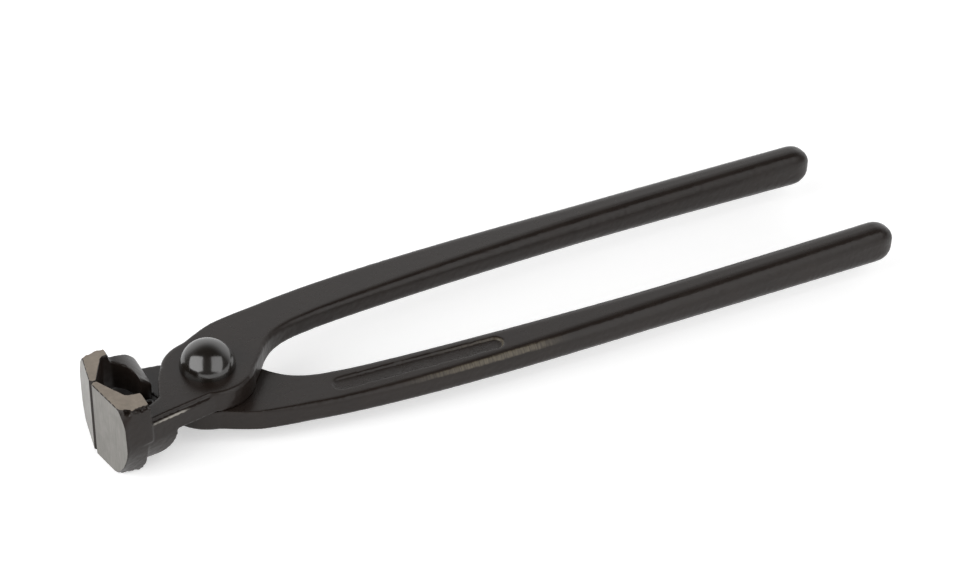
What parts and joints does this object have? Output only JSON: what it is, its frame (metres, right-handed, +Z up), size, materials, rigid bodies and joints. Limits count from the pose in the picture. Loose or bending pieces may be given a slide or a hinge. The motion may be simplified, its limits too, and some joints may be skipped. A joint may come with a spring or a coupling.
{
  "type": "end cutting nippers",
  "caption": "Black forged end cutting nippers with ground jaws across the end, long bare handles and a domed pivot rivet, closed.",
  "frame": {"origin": "middle of the tool's length and width, on the surface it lies on", "axes": "+X from the jaws to the handles, +Z up along the pivot towards the domed head, cutting edges parallel to Z"},
  "size_m": [0.2481, 0.0556, 0.0261],
  "materials": {
    "black_forging": "black lacquer over rough forged steel, satin, with bare ground steel on the jaw faces",
    "rivet_gloss": "gloss black lacquer on a smooth steel dome"
  },
  "bodies": {
    "lower": {"bottom_lever": "black_forging", "pivot_rivet": "rivet_gloss"},
    "upper": {"top_lever": "black_forging"}
  },
  "joints": [
    {"name": "pivot", "type": "hinge", "parent": "lower", "child": "upper", "pos_m": [-0.0899, 0, 0.012], "axis": [0, 0, 1], "range_deg": [0, 45]}
  ]
}
